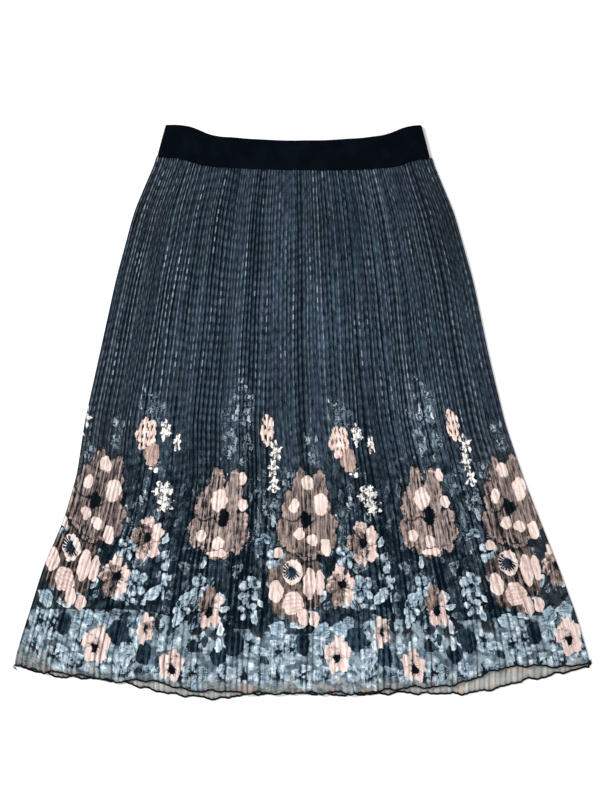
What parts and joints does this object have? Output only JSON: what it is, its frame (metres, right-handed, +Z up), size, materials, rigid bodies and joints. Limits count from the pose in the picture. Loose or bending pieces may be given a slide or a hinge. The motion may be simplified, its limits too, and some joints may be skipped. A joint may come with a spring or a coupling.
{
  "type": "pleated midi skirt laid flat",
  "caption": "Pull-on A-line midi skirt in finely pleated mesh with a floral border, wide elastic waistband and a shorter lining, lying flat with its front up.",
  "frame": {"origin": "middle of the bottom of the garment's box, on the surface that it lies on", "axes": "+Y towards the waist, +X towards the right of the front as seen, +Z up out of the front panel"},
  "size_m": [0.7506, 0.7478, 0.0093],
  "materials": {
    "pleated_mesh": "pleated printed mesh, soft sheen",
    "lining": "plain smooth knit",
    "elastic": "ribbed woven elastic",
    "thread": "overlock thread"
  },
  "bodies": {
    "root": {"waistband": "elastic", "front_panel": "pleated_mesh", "back_panel": "pleated_mesh", "lining_front": "lining", "lining_back": "lining"}
  },
  "joints": []
}
